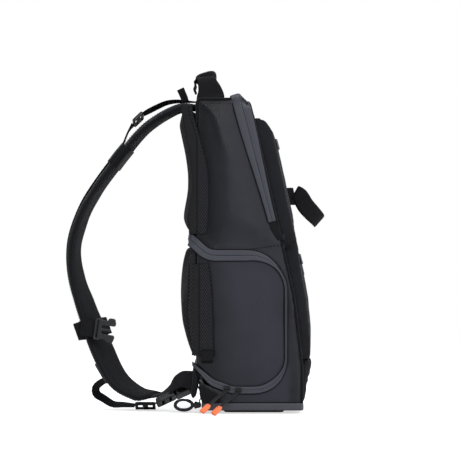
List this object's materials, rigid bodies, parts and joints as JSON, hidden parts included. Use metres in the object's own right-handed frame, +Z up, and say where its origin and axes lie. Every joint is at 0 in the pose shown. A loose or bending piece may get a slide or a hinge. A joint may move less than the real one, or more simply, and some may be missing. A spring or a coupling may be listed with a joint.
{
  "type": "drone carrying case",
  "caption": "Soft single-strap sling case with a padded shoulder strap, a zipped side door with orange cord pulls, a zipped front lid and a tripod loop.",
  "frame": {"origin": "middle of the underside of the rubber foot that the case stands on", "axes": "+Z up, +X away from the wearer towards the front pockets, -Y the side with the access door"},
  "size_m": [0.3674, 0.2898, 0.4755],
  "materials": {
    "shell_fabric": "coated woven polyester, matt",
    "lining": "smooth grey lining over foam",
    "mesh_foam": "air mesh over foam",
    "zip_band": "coated zip tape, satin",
    "webbing": "ribbed webbing",
    "buckle_plastic": "moulded, semi-gloss",
    "stiffener": "plain sheet",
    "foot_rubber": "moulded, matt",
    "slider_metal": "black lacquer",
    "hook_metal": "dark plated",
    "pull_cord": "braided cord",
    "pull_tip": "bright orange, moulded"
  },
  "bodies": {
    "case": {"bottom_wall": "lining", "top_wall": "shell_fabric", "far_side_wall": "shell_fabric", "near_side_wall": "shell_fabric", "back_wall": "shell_fabric", "frame_sheet": "stiffener", "front_wall": "shell_fabric", "compartment_shelf": "lining", "base_foot": "foot_rubber", "bottom_trim": "zip_band", "door_zip_tape_case_half": "zip_band", "upper_back_pad": "mesh_foam", "lower_back_pad": "mesh_foam", "lid_zip_tape_case_half": "zip_band", "lower_front_pocket": "shell_fabric", "tripod_foot_pocket": "shell_fabric", "shoulder_strap_pad": "mesh_foam", "strap_outer_webbing": "webbing", "strap_sleeve": "shell_fabric", "load_lifter_lock": "buckle_plastic", "load_lifter_webbing": "webbing", "hanger_tab": "webbing", "strap_lock": "buckle_plastic", "webbing_tail_loop": "webbing", "strap_end_lock": "buckle_plastic", "arch_webbing": "webbing", "side_patch": "shell_fabric", "cross_strap_loop": "webbing", "side_release_socket": "buckle_plastic", "socket_webbing": "webbing", "snap_hook_swivel": "hook_metal", "snap_hook_webbing": "webbing", "grab_handle": "webbing", "handle_grip": "shell_fabric"},
    "access_door": {"door_panel": "shell_fabric", "door_zip_tape_door_half": "zip_band", "door_corner_pad": "mesh_foam", "door_finger_tab": "webbing"},
    "door_slider_a": {"door_slider_a": "slider_metal"},
    "door_slider_b": {"door_slider_b": "slider_metal"},
    "door_pull_a": {"door_pull_cord_a": "pull_cord", "door_pull_tip_a": "pull_tip"},
    "door_pull_b": {"door_pull_cord_b": "pull_cord", "door_pull_tip_b": "pull_tip"},
    "front_lid": {"lid_shell": "shell_fabric", "lid_zip_tape_lid_half": "zip_band", "lid_pocket": "shell_fabric", "tripod_tabs": "webbing"},
    "tripod_loop": {"tripod_strap": "webbing"},
    "lid_slider": {"lid_slider": "slider_metal"},
    "lid_pull": {"lid_pull_cord": "pull_cord", "lid_pull_tip": "pull_tip"},
    "divider_low": {"padded_divider_low": "lining"},
    "divider_high": {"padded_divider_high": "lining"},
    "quick_release_plug": {"side_release_plug": "buckle_plastic", "plug_webbing": "webbing"},
    "cross_buckle": {"cross_strap_tab": "webbing", "cross_buckle_male": "buckle_plastic"},
    "snap_hook": {"snap_hook": "hook_metal"},
    "snap_gate": {"snap_hook_gate": "hook_metal"}
  },
  "joints": [
    {"name": "access_door_hinge", "type": "hinge", "parent": "case", "child": "access_door", "pos_m": [-0.08, -0.085, 0.154], "axis": [0, 0, -1], "range_deg": [0, 95]},
    {"name": "door_slider_a_run", "type": "slide", "parent": "access_door", "child": "door_slider_a", "axis": [-0.9363, 0, 0.3511], "range_m": [0, 0.018]},
    {"name": "door_slider_b_run", "type": "slide", "parent": "access_door", "child": "door_slider_b", "axis": [1, 0, 0], "range_m": [0, 0.018]},
    {"name": "door_pull_a_flip", "type": "hinge", "parent": "door_slider_a", "child": "door_pull_a", "pos_m": [-0.037, -0.1224, 0.03513], "axis": [-1, 0, 0], "range_deg": [0, 80]},
    {"name": "door_pull_b_flip", "type": "hinge", "parent": "door_slider_b", "child": "door_pull_b", "pos_m": [-0.0215, -0.1224, 0.0325], "axis": [-1, 0, 0], "range_deg": [0, 80]},
    {"name": "front_lid_fold", "type": "hinge", "parent": "case", "child": "front_lid", "pos_m": [0.0587, 0, 0.236], "axis": [0, 1, 0], "range_deg": [0, 75]},
    {"name": "tripod_loop_lift", "type": "hinge", "parent": "front_lid", "child": "tripod_loop", "pos_m": [0.0597, 0, 0.298], "axis": [0, -1, 0], "range_deg": [0, 65]},
    {"name": "lid_slider_run", "type": "slide", "parent": "front_lid", "child": "lid_slider", "axis": [-0.2573, 0, 0.9663], "range_m": [0, 0.12]},
    {"name": "lid_pull_swing", "type": "hinge", "parent": "lid_slider", "child": "lid_pull", "pos_m": [0.01934, 0.1206, 0.2875], "axis": [0, 1, 0], "range_deg": [-50, 50]},
    {"name": "divider_low_shift", "type": "slide", "parent": "case", "child": "divider_low", "axis": [0, 0, 1], "range_m": [0, 0.04]},
    {"name": "divider_high_shift", "type": "slide", "parent": "case", "child": "divider_high", "axis": [0, 0, 1], "range_m": [0, 0.04]},
    {"name": "quick_release", "type": "slide", "parent": "case", "child": "quick_release_plug", "axis": [-0.9063, 0, -0.4226], "range_m": [0, 0.017]},
    {"name": "cross_buckle_swing", "type": "hinge", "parent": "case", "child": "cross_buckle", "pos_m": [-0.241, -0.0594, 0.118], "axis": [0, 0, -1], "range_deg": [0, 75]},
    {"name": "snap_hook_swivel", "type": "hinge", "parent": "case", "child": "snap_hook", "pos_m": [-0.082, -0.092, 0.0105], "axis": [1, 0, 0], "continuous": true},
    {"name": "snap_gate_press", "type": "hinge", "parent": "snap_hook", "child": "snap_gate", "pos_m": [-0.0937, -0.092, 0.017], "axis": [0, -1, 0], "range_deg": [0, 26], "stiffness_Nm_per_rad": 0.02}
  ]
}
